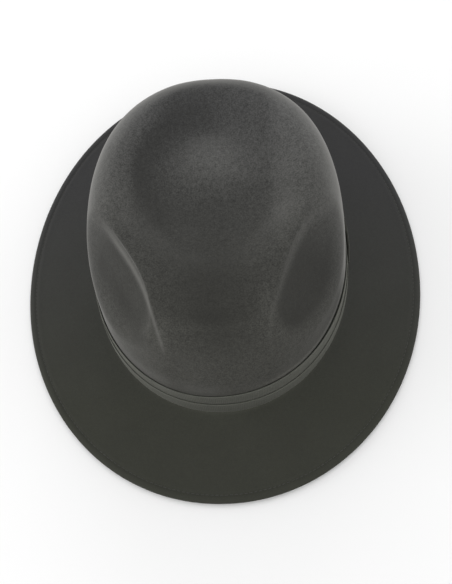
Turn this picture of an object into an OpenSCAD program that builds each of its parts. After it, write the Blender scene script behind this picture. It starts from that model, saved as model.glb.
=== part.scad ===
// Snap-brim felt fedora, size 58 cm, as an assembly of its real pieces.
// Millimetres. +Z is up, -Y is the front, +X is the wearer's left.
// The origin is the centre of the head opening, on the flat underside of the brim.

/* [Head opening] */
// Inside width of the felt at the head opening, ear to ear
opening_w = 170.6; // [164:0.2:178]
// Inside length of the felt at the head opening, front to back
opening_l = 205.6; // [198:0.2:214]
// Thickness of the felt
felt_t = 2.2; // [1.8:0.1:2.8]

/* [Crown] */
// Height of the round-topped crown before it is creased
crown_h = 119; // [110:1:126]
// How far each side leans in between the opening and the top
side_taper = 5.5; // [3:0.1:9]
// How far the front leans in between the opening and the top
front_taper = 9.3; // [6:0.1:13]
// How far the back leans in between the opening and the top
back_taper = 8.8; // [6:0.1:13]
// How much higher the back of the crown stands than its middle
crown_tilt = 5.2; // [2:0.1:8]
// Extra drop of the top towards the front
front_drop = 9; // [5:0.5:12]
// Squareness of the shoulder where the sides turn into the top
shoulder = 5.2; // [4:0.1:6]
// Depth of the teardrop dent in the top
dent_depth = 17; // [8:0.5:20]
// Height of the soft mound in the floor of the dent
mound_h = 8; // [0:0.5:10]
// Half the distance between the two pinch ridges at their wide rear end
ridge_half_w = 71; // [66:0.5:74]

/* [Brim] */
// Half the width of the brim, ear to ear
brim_half_w = 139.5; // [130:0.5:146]
// Reach of the brim in front of the origin
brim_front = 165.5; // [155:0.5:174]
// Reach of the brim behind the origin
brim_back = 164.5; // [155:0.5:174]
// Rise of the brim's edge at the front; negative is down
front_rise = -3; // [-8:0.5:4]
// Rise of the brim's edge at the sides
side_rise = -4; // [-8:0.5:4]
// Rise of the brim's edge at the back
back_rise = 7; // [2:0.5:12]
// Width of the turned-under edge
welt_w = 6; // [5:0.5:8]
// Thickness of the turned-under layer
welt_t = 1.8; // [1.4:0.1:2.4]

/* [Ribbon and leather] */
// Height of the main ribbon band
band_h = 25; // [20:1:30]
// Height of the narrower ribbon laid over its lower part
overlay_h = 11.5; // [10:0.5:17]
// Direction of the bow's knot, counted from the wearer's left towards the back
bow_a = 16; // [0:1:20]
// Height of the leather sweatband
sweat_h = 49; // [44:1:52]

/* [Hidden] */

// Half axes of the felt's outer oval at the foot of the crown
base_w = opening_w / 2 + felt_t;
base_l = opening_l / 2 + felt_t;

// Every ring and shell shares these columns, so facets of neighbouring layers nest
COLUMNS = 72;
step_a = 360 / COLUMNS;
around = [for (i = [0 : COLUMNS - 1]) i * step_a];

// Brim outline: 2 would be an ellipse, more is squarer
outline_power = 2.04;
// Share of the brim's reach that stays flat around the opening
flat_share = 0.1;
// Exponent of the brim's sweep up or down towards its edge
sweep_power = 1.6;
// How much squarer the oval becomes by the top of the crown
top_squareness = 0.33;

// Shares of the reach at which the brim has rows, and half the step at the welt's border
brim_shares = [flat_share, 0.4, 0.7];
border = 0.004;

// The snap line of the front brim, and half the slot that lets the flap swing
snap_y = -115;
snap_gap = 1.5;
// The flap's rear edge, the length of its blunt tips, its columns, and two rows as shares of its depth
flap_start_y = snap_y - snap_gap;
tip_l = 1;
flap_columns = 26;
flap_shares = [0.4, 0.8];
// Direction of the flap's tips, measured down from the sides, and its columns from tip to tip
tip_a = asin(pow((tip_l - flap_start_y) / brim_front, outline_power / 2));
flap_around = [for (i = [0 : flap_columns]) mix(-tip_a, tip_a - 180, i / flap_columns)];

// Stitch row of the brim: distance from the edge, angle between stitches, margin at the flap's tips
stitch_in = 5;
stitch_step = 2.5;
tip_margin = 2.5;
// Length of a brim stitch, the angle it spans, and its clearance above the felt
brim_stitch_l = 3.4;
stitch_half_a = 0.5;
stitch_lift = 0.12;

// Pinch ridges: where they start, their far inner limit and how fast they close in
ridge_start_y = -10;
ridge_inner_x = -4;
ridge_fade = 103;
// Share of the crown's height at which the ridges stand
ridge_rise = 0.94;
// How the wall below a ridge slopes out again: per mm, and per square mm, below the ridge
pinch_slope = 0.22;
pinch_curve = 0.0075;
// Radius of the fold along a ridge
pinch_fold = 6;
// The pinch starts here and takes this length to come in fully
pinch_start_y = 10;
pinch_run = 30;

// Dent: its front tip, its length to full depth, and the width of its wall
dent_tip_y = -95;
dent_run = 95;
dent_wall = 30;
// The dent's edge, as a share of the way to the rim, and millimetres for a whole share
dent_edge = 0.78;
dent_share = 85;
// Blend where the dent's edge leaves the rim for a ridge, and its distance from the ridge
dent_blend = 10;
dent_to_ridge = 2;
// Mound in the dent: its place behind the middle, its half width and half length, and its skirt
mound_y = 18;
mound_half_w = 21;
mound_half_l = 22;
mound_skirt = 20;
// Climb below which the crown has no dent
dent_from_climb = 34;
// Climbs of the crown's rows, 0 at the foot and 90 at the pole, on its outer and its inner face
outer_climbs = [8, 14, 19, 24, 28, 31, 34, 36.5, 39, 41.5, 44, 46.5, 50, 54, 58, 62, 66, 70, 75, 80, 85];
inner_climbs = [5, 14, 22, 25, 28, 31, 34, 37, 40, 42, 45, 48, 52, 57, 63, 70, 78];

// Depths of the layers, measured inward from the felt's outer face
lining_in = 2.4;
lining_t = 0.35;
tape_in = 2.3;
tape_t = 0.25;
leather_in = 2.9;
leather_t = 1;
thread = 0.35;
// Height of the leather's foot, and how far its top stands off the wall beyond its foot
sweat_z = 0.8;
sweat_lean = 0.6;
// Height of the reed tape
tape_h = 7;
// The lining hangs further from the felt above the leather than behind it, over this rise
lining_slack = 2.6;
slack_run = 25;
tip_in = lining_in + lining_slack;
// Climbs of the lining's rows: its side, its tip, and the piped seam between them
side_climbs = [5, 14, 22, 25, 28, 31, 34, 37, 40, 42];
tip_climbs = [43.5, 47, 52, 58, 64, 71, 79];
piping_climb = 42.75;

// Height of the ribbon's foot, and the air between two of its layers
band_z = 2.6;
layer_gap = 0.1;
// Thickness of the band, the overlay, one ply of the bow and one folded loop of it
band_t = 0.75;
overlay_t = 0.6;
ply = 0.35;
loop_t = 0.8;
// Stand-off of each layer from the felt, from the band out to the bow's knot
band_off = 0.15;
overlay_off = band_off + band_t + layer_gap;
bow_off = overlay_off + overlay_t + layer_gap;
loop_off = bow_off + ply + layer_gap;
knot_off = loop_off + loop_t + layer_gap;
// Directions between which each piece of the flat bow lies
tail_span = [bow_a - 9, bow_a + 19.5];
front_loop_span = [bow_a - 15, bow_a - 0.4];
back_loop_span = [bow_a + 0.4, bow_a + 14];
knot_span = [bow_a - 3.6, bow_a + 3.6];
// Angle between the bow's columns, and how far its layers stay inside the band's edges
bow_step = 1.5;
bow_margin = 0.9;
knot_margin = 0.2;

felt_colour = [0.16, 0.16, 0.145];
ribbon_colour = [0.22, 0.225, 0.20];
leather_colour = [0.30, 0.19, 0.11];
satin_colour = [0.40, 0.38, 0.34];
thread_colour = [0.12, 0.12, 0.11];

// ---------------------------------------------------------------- numbers

function clamp(v) = min(max(v, 0), 1);
function mix(a, b, f) = a + (b - a) * f;
function ease(f) = let (c = clamp(f)) c * c * (3 - 2 * c);
function signed_pow(v, e) = sign(v) * pow(abs(v), e);
function soft_min(a, b, k) = let (h = clamp(0.5 + 0.5 * (b - a) / k)) mix(b, a, h) - k * h * (1 - h);

// ---------------------------------------------------------------- crown surface

function block_height(y) =
    crown_h + crown_tilt * y / base_l - front_drop * pow(clamp(-y / base_l), 2);

function ridge_x(y) =
    ridge_inner_x + (ridge_half_w - ridge_inner_x) * exp((y - ridge_start_y) / ridge_fade);

// Half length of the crown's oval in the direction a, at the share up of the height
function half_length(a, inset, up) =
    base_l - inset - (sin(a) < 0 ? front_taper : back_taper) * up;

function half_width(inset, up) = base_w - inset - side_taper * up;

// Point of the oval in the direction a, at the share up of the height, size 0 to 1
function oval(a, inset, up, size = 1) =
    let (e = 2 / (2 + top_squareness * up))
    [half_width(inset, up) * size * signed_pow(cos(a), e),
     half_length(a, inset, up) * size * signed_pow(sin(a), e)];

// Depth of the teardrop dent at p, given how near p is to the rim of the top (1 at the rim)
function dent(p, rim_share, inset) =
    let (x = abs(p.x),
         from_rim = (dent_edge - rim_share) * dent_share,
         from_ridge = ridge_x(p.y) - inset - x + dent_to_ridge,
         from_edge = soft_min(from_rim, from_ridge, dent_blend),
         depth = dent_depth * ease((p.y - dent_tip_y) / dent_run),
         mound = mound_h * exp(-(pow(x / mound_half_w, 2) + pow((p.y - mound_y) / mound_half_l, 2))))
    depth * ease(from_edge / dent_wall) - mound * ease(from_edge / mound_skirt);

// Pinch: pulls the side of the crown in behind the ridge, more the nearer it is to the top
function pinched_x(p, z, inset) =
    let (x = abs(p.x),
         crest = block_height(p.y) - (1 - ridge_rise) * crown_h - inset,
         below = max(crest - z, 0),
         limit = ridge_x(p.y) - inset + pinch_slope * below + pinch_curve * pow(below, 2),
         pulled = min(soft_min(x, limit, pinch_fold), x))
    sign(p.x) * mix(x, pulled, ease((pinch_start_y - p.y) / pinch_run));

// Point of the creased crown: a is the direction, climb goes from 0 at the foot to 90 at the top
function crown_point(a, climb, inset) =
    let (k = pow(pow(cos(climb), shoulder) + pow(sin(climb), shoulder), -1 / shoulder),
         up = k * sin(climb),
         p = oval(a, inset, up, k * cos(climb)),
         rim_share = norm([p.x / half_width(inset, up), p.y / half_length(a, inset, up)]),
         smooth_z = up * (block_height(p.y) - inset),
         z = smooth_z - (climb > dent_from_climb ? dent(p, rim_share, inset) : 0))
    [pinched_x(p, z, inset), p.y, z];

// Point on the straight lower wall at height z, standing out from the felt by off
function wall_point(a, z, off) =
    let (p = oval(a, -off, z / block_height(base_l * sin(a))))
    [p.x, p.y, z];

// ---------------------------------------------------------------- brim surface

function brim_edge(a) =
    let (e = 2 / outline_power)
    [brim_half_w * signed_pow(cos(a), e),
     (sin(a) < 0 ? brim_front : brim_back) * signed_pow(sin(a), e)];

function brim_foot(a) = [base_w * cos(a), base_l * sin(a)];

function brim_rise(a) =
    let (end_rise = sin(a) < 0 ? front_rise : back_rise)
    mix(side_rise, end_rise, pow(sin(a), 2));

// Point of the brim's upper face, lowered by below; reach is 0 at the crown, 1 at the edge
function brim_point(a, reach, below = 0) =
    let (p = mix(brim_foot(a), brim_edge(a), reach),
         sweep = pow(max(reach - flat_share, 0) / (1 - flat_share), sweep_power))
    [p.x, p.y, felt_t + brim_rise(a) * sweep - below];

// Reach of the point that lies at the distance d from the brim's edge
function reach_at(a, d) = 1 - d / norm(brim_edge(a) - brim_foot(a));

// Reach at which the brim crosses the line y = line_y, or 1 where it never does
function reach_to(a, line_y) =
    let (y0 = brim_foot(a).y, y1 = brim_edge(a).y)
    y1 < line_y ? (line_y - y0) / (y1 - y0) : 1;

// ---------------------------------------------------------------- solids from rows of points

function flat_list(rows) = [for (row = rows) each row];

// Two triangles for each cell between ring r and ring s, each n points long
function ring_faces(r, s, n) =
    [for (i = [0 : n - 1]) each
        [[r * n + i, r * n + (i + 1) % n, s * n + (i + 1) % n], [r * n + i, s * n + (i + 1) % n, s * n + i]]];

// Solid whose skin runs through rings that close on themselves, the last joined to the first
module ring_solid(rings) {
    n = len(rings[0]);
    faces = [for (r = [0 : len(rings) - 1]) each ring_faces((r + 1) % len(rings), r, n)];
    polyhedron(flat_list(rings), faces, convexity = 6);
}

// Solid whose skin starts at one pole, runs through the rings and ends at another pole
module pole_solid(first, rings, last) {
    n = len(rings[0]);
    count = len(rings) * n;
    faces = concat(
        [for (r = [0 : len(rings) - 2]) each ring_faces(r, r + 1, n)],
        [for (i = [0 : n - 1]) [count, (i + 1) % n, i]],
        [for (i = [0 : n - 1]) [count + 1, count - n + i, count - n + (i + 1) % n]]);
    polyhedron(concat(flat_list(rings), [first, last]), faces, convexity = 8);
}

// Solid that runs through a row of sections, with a flat cap at each end
module bar_solid(sections) {
    n = len(sections[0]);
    last = (len(sections) - 1) * n;
    faces = concat(
        [for (r = [0 : len(sections) - 2]) each ring_faces(r, r + 1, n)],
        [[for (i = [n - 1 : -1 : 0]) i]],
        [[for (i = [0 : n - 1]) last + i]]);
    polyhedron(flat_list(sections), faces, convexity = 6);
}

// Strip around the whole wall, between two heights and two stand-offs, leaning in by lean at its top
module wall_ring(z0, z1, off0, off1, lean = 0) {
    corners = [[z0, off0], [z0, off1], [z1, off1 - lean], [z1, off0 - lean]];
    ring_solid([for (c = corners) [for (a = around) wall_point(a, c[0], c[1])]]);
}

// Strip around part of the wall; a_list holds its directions in rising order
module wall_strip(a_list, z0, z1, off0, off1) {
    corners = [[z0, off0], [z0, off1], [z1, off1], [z1, off0]];
    bar_solid([for (a = a_list) [for (c = corners) wall_point(a, c[0], c[1])]]);
}

// One thread stitch, a short bar at p that points along the direction turn, tilted by lean
module stitch(p, turn, long, lean = 0, thick = thread) {
    translate(p) rotate([0, 0, turn]) rotate([0, lean, 0]) cube([long, thick, thick], center = true);
}

// Direction in which the wall runs at a, in degrees
function wall_turn(a) =
    let (d = wall_point(a + 1, band_z, 0) - wall_point(a - 1, band_z, 0))
    atan2(d.y, d.x);

// ---------------------------------------------------------------- felt

// Reaches of one column of the felt body; the snap line cuts the front columns short
function body_reaches(a) =
    let (end = reach_to(a, snap_y + snap_gap), w = reach_at(a, welt_w))
    [for (s = concat(brim_shares, [w - border, w + border, 1])) s * end];

function is_whole(a) = reach_to(a, snap_y + snap_gap) == 1;

module felt_body() {
    last = len(body_reaches(0)) - 1;
    crown_out = [for (c = [len(outer_climbs) - 1 : -1 : 0])
        [for (a = around) crown_point(a, outer_climbs[c], 0)]];
    foot = [[for (a = around) wall_point(a, felt_t, 0)]];
    brim_top = [for (i = [0 : last]) [for (a = around) brim_point(a, body_reaches(a)[i])]];
    brim_under = [for (i = [last : -1 : 0]) [for (a = around)
        brim_point(a, body_reaches(a)[i], felt_t + (i >= last - 1 && is_whole(a) ? welt_t : 0))]];
    mouth = [[for (a = around) [opening_w / 2 * cos(a), opening_l / 2 * sin(a), 0]]];
    crown_in = [for (c = inner_climbs) [for (a = around) crown_point(a, c, felt_t)]];
    color(felt_colour) pole_solid(
        crown_point(0, 90, 0),
        concat(crown_out, foot, brim_top, brim_under, mouth, crown_in),
        crown_point(0, 90, felt_t));
}

// Reaches of one column of the flap, kept in rising order where the flap narrows to a tip
function flap_reaches(a) =
    let (start = reach_to(a, flap_start_y),
         w = reach_at(a, welt_w),
         middle = [for (s = flap_shares) mix(start, w, s)],
         wanted = concat([start], middle, [w - border, w + border, 1]),
         last = len(wanted) - 1,
         least = border / 2)
    [for (i = [0 : last]) min(max(wanted[i], start + i * least), 1 - (last - i) * least)];

module front_brim() {
    last = len(flap_reaches(-90)) - 1;
    sections = [for (a = flap_around) let (r = flap_reaches(a)) concat(
        [for (i = [0 : last]) brim_point(a, r[i])],
        [for (i = [last : -1 : 0]) brim_point(a, r[i], felt_t + (i >= last - 1 ? welt_t : 0))])];
    color(felt_colour) bar_solid(sections);
}

// Stitches on the brim, one at each direction in a_list, through the turned-under edge
module brim_stitches(a_list) {
    lift = [0, 0, thread / 2 + stitch_lift];
    for (a = a_list) {
        ahead = brim_point(a + stitch_half_a, reach_at(a + stitch_half_a, stitch_in));
        behind = brim_point(a - stitch_half_a, reach_at(a - stitch_half_a, stitch_in));
        d = ahead - behind;
        stitch((ahead + behind) / 2 + lift, atan2(d.y, d.x), brim_stitch_l, -asin(d.z / norm(d)));
    }
}

module brim_stitching() {
    first = -tip_a + tip_margin;
    color(thread_colour) brim_stitches([for (a = [first : stitch_step : 180 - first]) a]);
}

module front_brim_stitching() {
    last = -tip_a - tip_margin;
    color(thread_colour) brim_stitches([for (a = [-180 - last : stitch_step : last]) a]);
}

// ---------------------------------------------------------------- ribbon

module hat_band() {
    color(ribbon_colour) wall_ring(band_z, band_z + band_h, band_off, band_off + band_t);
}

module hat_band_overlay() {
    color(ribbon_colour) wall_ring(band_z, band_z + overlay_h, overlay_off, overlay_off + overlay_t);
}

// Hand stitches that hold the ribbon to the crown, upright, spread around it
module band_tacks() {
    tack_off = band_off + band_t + thread;
    tack_l = 3;
    color(thread_colour) for (a = [-150, -120, -60, -30, 45, 90, 135, 180])
        stitch(wall_point(a, band_z + band_h - tack_l, tack_off), wall_turn(a), tack_l, 90);
}

// Evenly spaced directions over a span, at most bow_step apart
function span_steps(span) =
    let (steps = ceil((span[1] - span[0]) / bow_step))
    [for (i = [0 : steps]) mix(span[0], span[1], i / steps)];

// One flat layer of the bow over a span of directions
module bow_layer(span, off, thick, margin = bow_margin) {
    color(ribbon_colour)
        wall_strip(span_steps(span), band_z + margin, band_z + band_h - margin, off, off + thick);
}

module bow_tail() {
    bow_layer(tail_span, bow_off, ply);
}

module bow_front_loop() {
    bow_layer(front_loop_span, loop_off, loop_t);
}

module bow_back_loop() {
    bow_layer(back_loop_span, loop_off, loop_t);
}

module bow_knot() {
    bow_layer(knot_span, knot_off, ply, knot_margin);
}

// Four hand stitches, one near each corner of the knot
module bow_tacks() {
    corner_a = 2.4;
    corner_z = 4;
    tack_l = 2.5;
    color(thread_colour)
        for (side = [-corner_a, corner_a], z = [band_z + corner_z, band_z + band_h - corner_z])
            stitch(wall_point(bow_a + side, z, knot_off + ply + thread), wall_turn(bow_a + side), tack_l, 90);
}

// ---------------------------------------------------------------- leather sweatband

module sweatband() {
    inner_off = -leather_in - leather_t;
    color(leather_colour) wall_ring(sweat_z, sweat_z + sweat_h, inner_off, -leather_in, sweat_lean);
}

module sweatband_reed() {
    reed_r = 0.8;
    reed_in = 3.4;
    reed_z = -0.25;
    corners = [for (i = [0 : 7]) [reed_z + reed_r * sin(45 * i), reed_r * cos(45 * i) - reed_in]];
    color("ivory") ring_solid([for (c = corners) [for (a = around) wall_point(a, c[0], c[1])]]);
}

module reed_tape() {
    color("dimgray") wall_ring(sweat_z, sweat_z + tape_h, -tape_in - tape_t, -tape_in);
}

// Row of stitches that joins the leather to the reed tape, seen on the leather's inner face
module sweatband_stitching() {
    thread_in = leather_in + leather_t + thread;
    row_rise = 3;
    leather_stitch_l = 4.4;
    color("tan") for (a = around)
        stitch(wall_point(a, sweat_z + row_rise, -thread_in), wall_turn(a), leather_stitch_l);
}

// Zigzag thread that joins the two ends of the leather at the back
module sweatband_seam() {
    back_a = 90;
    legs = 14;
    leg_lean = 60;
    seam_foot = 5;
    seam_top = 3;
    pitch = (sweat_h - seam_foot - seam_top) / legs;
    color("tan") for (i = [0 : legs - 1]) {
        rise = seam_foot + (i + 0.5) * pitch;
        thread_in = leather_in + leather_t + thread + sweat_lean * rise / sweat_h;
        lean = i % 2 == 0 ? leg_lean : -leg_lean;
        stitch(wall_point(back_a, sweat_z + rise, -thread_in), wall_turn(back_a), pitch, lean);
    }
}

// Small ribbon bow sewn to the leather at the back: two loops and a knot
module sweatband_bow() {
    over_seam = 2.2;
    face_in = leather_in + leather_t + over_seam * thread;
    z0 = sweat_z + 5;
    ribbon_w = 5;
    plies = 0.8;
    knot_t = 1.2;
    knot_edge = 0.5;
    loops = [[79.5, 89], [91, 100.5]];
    knot = [89.1, 90.9];
    color("black") {
        for (span = loops)
            wall_strip(span_steps(span), z0, z0 + ribbon_w, -face_in - plies, -face_in);
        wall_strip(span_steps(knot), z0 - knot_edge, z0 + ribbon_w + knot_edge, -face_in - knot_t, -face_in);
    }
}

// ---------------------------------------------------------------- lining

// Point of the lining's side, set further in by extra
function lining_point(a, climb, extra = 0) =
    let (z = crown_point(a, climb, lining_in).z,
         inset = lining_in + lining_slack * ease((z - sweat_z - sweat_h) / slack_run))
    crown_point(a, climb, inset + extra);

module lining_side() {
    outer = [for (c = side_climbs) [for (a = around) lining_point(a, c)]];
    last = len(side_climbs) - 1;
    inner = [for (i = [last : -1 : 0]) [for (a = around) lining_point(a, side_climbs[i], lining_t)]];
    color(satin_colour) ring_solid(concat(inner, outer));
}

module lining_tip() {
    last = len(tip_climbs) - 1;
    outer = [for (i = [last : -1 : 0]) [for (a = around) crown_point(a, tip_climbs[i], tip_in)]];
    inner = [for (c = tip_climbs) [for (a = around) crown_point(a, c, tip_in + lining_t)]];
    color(satin_colour)
        pole_solid(crown_point(0, 90, tip_in), concat(outer, inner), crown_point(0, 90, tip_in + lining_t));
}

// Fine cord in the seam between the side and the tip, on the inside of the lining
module lining_piping() {
    cord_r = 0.6;
    cord_climb = 0.45;
    cord_in = tip_in + lining_t + cord_r + 0.3;
    corners = [for (i = [0 : 5]) [piping_climb + cord_climb * sin(60 * i), cord_in - cord_r * cos(60 * i)]];
    color("dimgray") ring_solid([for (c = corners) [for (a = around) crown_point(a, c[0], c[1])]]);
}

// Hand stitches that hold the lining's lower edge to the reed tape
module lining_tacks() {
    thin = 0.2;
    tack_l = 2;
    tack_in = (tape_in + tape_t + leather_in) / 2;
    tack_z = sweat_z + 5.5;
    color(thread_colour) for (a = [-155, -125, -90, -55, -25, 30, 60, 120, 150])
        stitch(wall_point(a, tack_z, -tack_in), wall_turn(a), tack_l, 90, thin);
}

felt_body();
front_brim();
brim_stitching();
front_brim_stitching();
hat_band();
hat_band_overlay();
band_tacks();
bow_tail();
bow_front_loop();
bow_back_loop();
bow_knot();
bow_tacks();
sweatband();
sweatband_reed();
reed_tape();
sweatband_stitching();
sweatband_seam();
sweatband_bow();
lining_side();
lining_tip();
lining_piping();
lining_tacks();
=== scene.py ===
"""Looks of a snap-brim felt fedora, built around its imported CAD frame.

Lengths are in millimetres until a mesh is made. The front of the hat is -Y, up is +Z, and the wearer's
left, where the bow sits, is +X. Directions around the hat are in degrees, counted from +X towards +Y.
"""

import math

import bpy
import numpy as np
from mathutils import Matrix, Vector, noise


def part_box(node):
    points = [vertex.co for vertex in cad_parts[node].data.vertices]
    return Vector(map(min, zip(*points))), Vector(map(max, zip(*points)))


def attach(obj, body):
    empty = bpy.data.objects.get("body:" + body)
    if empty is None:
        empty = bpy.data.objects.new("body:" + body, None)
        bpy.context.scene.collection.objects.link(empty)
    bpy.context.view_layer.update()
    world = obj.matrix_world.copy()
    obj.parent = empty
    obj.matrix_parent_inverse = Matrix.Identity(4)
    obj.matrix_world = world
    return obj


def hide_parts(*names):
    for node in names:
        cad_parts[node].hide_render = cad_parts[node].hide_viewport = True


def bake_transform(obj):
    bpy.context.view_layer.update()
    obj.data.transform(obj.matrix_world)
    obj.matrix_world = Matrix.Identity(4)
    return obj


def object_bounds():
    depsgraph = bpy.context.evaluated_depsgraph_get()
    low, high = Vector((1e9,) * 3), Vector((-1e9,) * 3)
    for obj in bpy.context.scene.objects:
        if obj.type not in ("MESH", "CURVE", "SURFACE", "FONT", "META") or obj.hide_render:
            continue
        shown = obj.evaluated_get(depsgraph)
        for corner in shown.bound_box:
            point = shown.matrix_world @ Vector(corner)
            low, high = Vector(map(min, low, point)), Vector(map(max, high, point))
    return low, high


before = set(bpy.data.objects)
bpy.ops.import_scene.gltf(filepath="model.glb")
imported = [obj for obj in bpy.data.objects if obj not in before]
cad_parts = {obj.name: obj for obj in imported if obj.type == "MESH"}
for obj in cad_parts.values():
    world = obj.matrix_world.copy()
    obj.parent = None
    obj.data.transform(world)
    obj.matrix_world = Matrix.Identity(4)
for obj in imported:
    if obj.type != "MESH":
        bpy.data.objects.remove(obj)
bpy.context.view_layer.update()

MM = 0.001

# ---- sizes read from the frame


def box_mm(node):
    low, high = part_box(node)
    return np.array(low) / MM, np.array(high) / MM


body_high = box_mm("felt_body")[1]
flap_low = box_mm("front_brim")[0]
band_low, band_high = box_mm("hat_band")
overlay_low, overlay_high = box_mm("hat_band_overlay")
sweat_low, sweat_high = box_mm("sweatband")
reed_low, reed_high = box_mm("sweatband_reed")
tape_low, tape_high = box_mm("reed_tape")

FELT_T = 2.2
WELT_T = 1.8  # the edge that is turned under the brim
BAND_PROUD = 0.9  # outer face of the ribbon in front of the felt
OVERLAY_PROUD = 1.6  # outer face of the narrower ribbon in front of the felt
BOW_A = 16.0  # direction of the bow's knot
BASE_W = band_high[0] - BAND_PROUD + 0.12  # half width of the felt's oval at the foot, below the ribbon
BASE_L = (band_high[1] - band_low[1]) / 2 - BAND_PROUD + 0.2  # half length of that oval
DEGREE_AT_SIDE = BASE_L * np.pi / 180  # length of one degree of the wall at the hat's side
DEGREE_AT_BACK = BASE_W * np.pi / 180  # length of one degree of the wall at the hat's back
CROWN_H = body_high[2] + 1.9  # height of the round-topped block; the creased top is 1.9 lower
BRIM_W = body_high[0]
BRIM_BACK = body_high[1]
BRIM_FRONT = -flap_low[1]

SIDE_TAPER = 5.5  # how much narrower each side of the block is at the top
FRONT_TAPER = 9.3
BACK_TAPER = 8.8
CROWN_TILT = 5.2  # how far the block's top rises at the back and sinks at the front
FRONT_DROP = 9.0  # how much further it sinks towards the front
SHOULDER = 5.2  # power of the curve from wall to top; a higher one is squarer
TOP_SQUARENESS = 0.33  # how much squarer than an ellipse the block's top is
DENT_DEPTH = 17.0
MOUND_H = 8.0  # height of the soft mound in the dent's floor
MOUND_Y = 18.0
RIDGE_HALF_W = 71.0  # distance of a pinch ridge from the middle where it starts
RIDGE_START_Y = -10.0
RIDGE_INNER_X = -4.0  # distance that the ridges would close in to, far in front
RIDGE_FADE = 103.0  # length over which they close in
LEAN = 1.3  # how far the back of the finished top sits over towards the wearer's left
RIGHT_TUCK = 0.8  # how much further the wearer's right side of the crown leans in
WAIST = 1.3  # how far the ribbon draws in the wall above it, on the front of the wearer's left
FRONT_SWELL = 1.4  # how far the front of the crown swells over the ribbon's top edge
BAND_DIP = 3.8  # how far the ribbon's top edge sinks at the front, on the wearer's right
BAND_DIP_A = -108  # direction in which it sinks most

OUTLINE_POWER = 2.04  # of the brim's outline, where 2 is an ellipse
FLAT_SHARE = 0.1  # share of the brim next to the crown that stays flat
SWEEP_POWER = 1.6
FRONT_RISE = -3.0  # rise of the brim's edge at the front, sides and back
SIDE_RISE = -4.0
BACK_RISE = 7.0
STITCH_IN = 5.0  # distance of the stitch row from the brim's edge
WELT_W = 6.0  # width of the turned-under edge

COLUMNS = 360
around = np.arange(COLUMNS) * 360.0 / COLUMNS

# ---- numbers


def ease(f):
    c = np.clip(f, 0, 1)
    return c * c * (3 - 2 * c)


def mix(a, b, f):
    return a + (b - a) * f


def bell(x, width):
    return np.exp(-((x / width) ** 2))


def signed_pow(v, e):
    return np.sign(v) * np.abs(v) ** e


def soft_min(a, b, k):
    h = np.clip(0.5 + 0.5 * (b - a) / k, 0, 1)
    return mix(b, a, h) - k * h * (1 - h)


def cos_d(a):
    return np.cos(np.radians(a))


def sin_d(a):
    return np.sin(np.radians(a))


def stack(x, y, z):
    return np.stack(np.broadcast_arrays(x, y, z), axis=-1)


def run_along(points):
    """Length of the path up to each of its points."""
    return np.concatenate([[0], np.cumsum(np.linalg.norm(np.diff(points, axis=0), axis=1))])


def rumple(points, size, seed):
    """Smooth noise between -1 and 1 at each point, with features about size across."""
    shape = points.shape[:-1]
    flat = points.reshape(-1, 3) / size + seed * 17.3
    return np.array([noise.noise(Vector(p)) for p in flat]).reshape(shape)


# ---- crown and brim surfaces


def block_height(y):
    return CROWN_H + CROWN_TILT * y / BASE_L - FRONT_DROP * np.clip(-y / BASE_L, 0, 1) ** 2


def ridge_x(x, y):
    """Distance of the pinch ridge from the middle; each side's ridge bends a little in its own way."""
    even = RIDGE_INNER_X + (RIDGE_HALF_W - RIDGE_INNER_X) * np.exp((y - RIDGE_START_Y) / RIDGE_FADE)
    wearers_right = -2.4 * bell(y + 57, 23)
    wearers_left = 2.5 * ease((-80 - y) / 14) - 2.5 * bell(y + 30, 25)
    return even + mix(wearers_right, wearers_left, ease(x / 20 + 0.5))


def half_axes(a, inset, up):
    width = BASE_W - inset - SIDE_TAPER * up
    length = BASE_L - inset - np.where(sin_d(a) < 0, FRONT_TAPER, BACK_TAPER) * up
    return width, length


def oval(a, inset, up, size=1.0):
    width, length = half_axes(a, inset, up)
    e = 2 / (2 + TOP_SQUARENESS * up)
    return width * size * signed_pow(cos_d(a), e), length * size * signed_pow(sin_d(a), e)


def dent(x, y, rim_share, inset):
    """Depth of the teardrop dent in the top, less the soft mound in its floor."""
    from_edge = soft_min((0.78 - rim_share) * 85, ridge_x(x, y) - inset - np.abs(x) + 2, 10)
    depth = DENT_DEPTH * ease((y + 95) / 95)
    mound = MOUND_H * bell(x, 21) * bell(y - MOUND_Y, 22)
    return depth * ease(from_edge / 30) - mound * ease(from_edge / 20)


def pinch(x, y, z, inset):
    """x of each point, pulled in behind the ridge, more the nearer it is to the top."""
    crest = 0.94 * CROWN_H + block_height(y) - CROWN_H - inset
    below = np.maximum(crest - z, 0)
    limit = ridge_x(x, y) - inset + 0.22 * below + 0.0075 * below**2
    radius = np.where(x < 0, 3.6, 7.0)
    pulled = np.minimum(soft_min(np.abs(x), limit, radius), np.abs(x))
    return np.sign(x) * mix(np.abs(x), pulled, ease((10 - y) / 30))


def crown_point(a, climb, inset):
    """Point of the creased crown; climb runs from 0 at the foot to 90 at the middle of the top."""
    c, s = cos_d(climb), sin_d(climb)
    k = (c**SHOULDER + s**SHOULDER) ** (-1 / SHOULDER)
    up = k * s
    x, y = oval(a, inset, up, k * c)
    width, length = half_axes(a, inset, up)
    rim_share = np.hypot(x / width, y / length)
    z = up * (block_height(y) - inset)
    z = z - np.where(climb > 34, dent(x, y, rim_share, inset), 0)
    lean = LEAN * up**2 * ease((y + 20) / 110) + RIGHT_TUCK * up * ease(-x / 40)
    waist = WAIST * bell(z - 40, 14) * ease((-10 - y) / 40) * ease(x / 30)
    swell = FRONT_SWELL * bell(z - 42, 11) * ease((-y - 55) / 35)
    return stack(pinch(x, y, z, inset) + lean - waist, y - swell, z)


def wall_point(a, z, off):
    """Point at height z in front of the crown's straight lower wall by off."""
    x, y = oval(a, -off, z / block_height(BASE_L * sin_d(a)))
    return stack(x, y, z)


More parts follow.
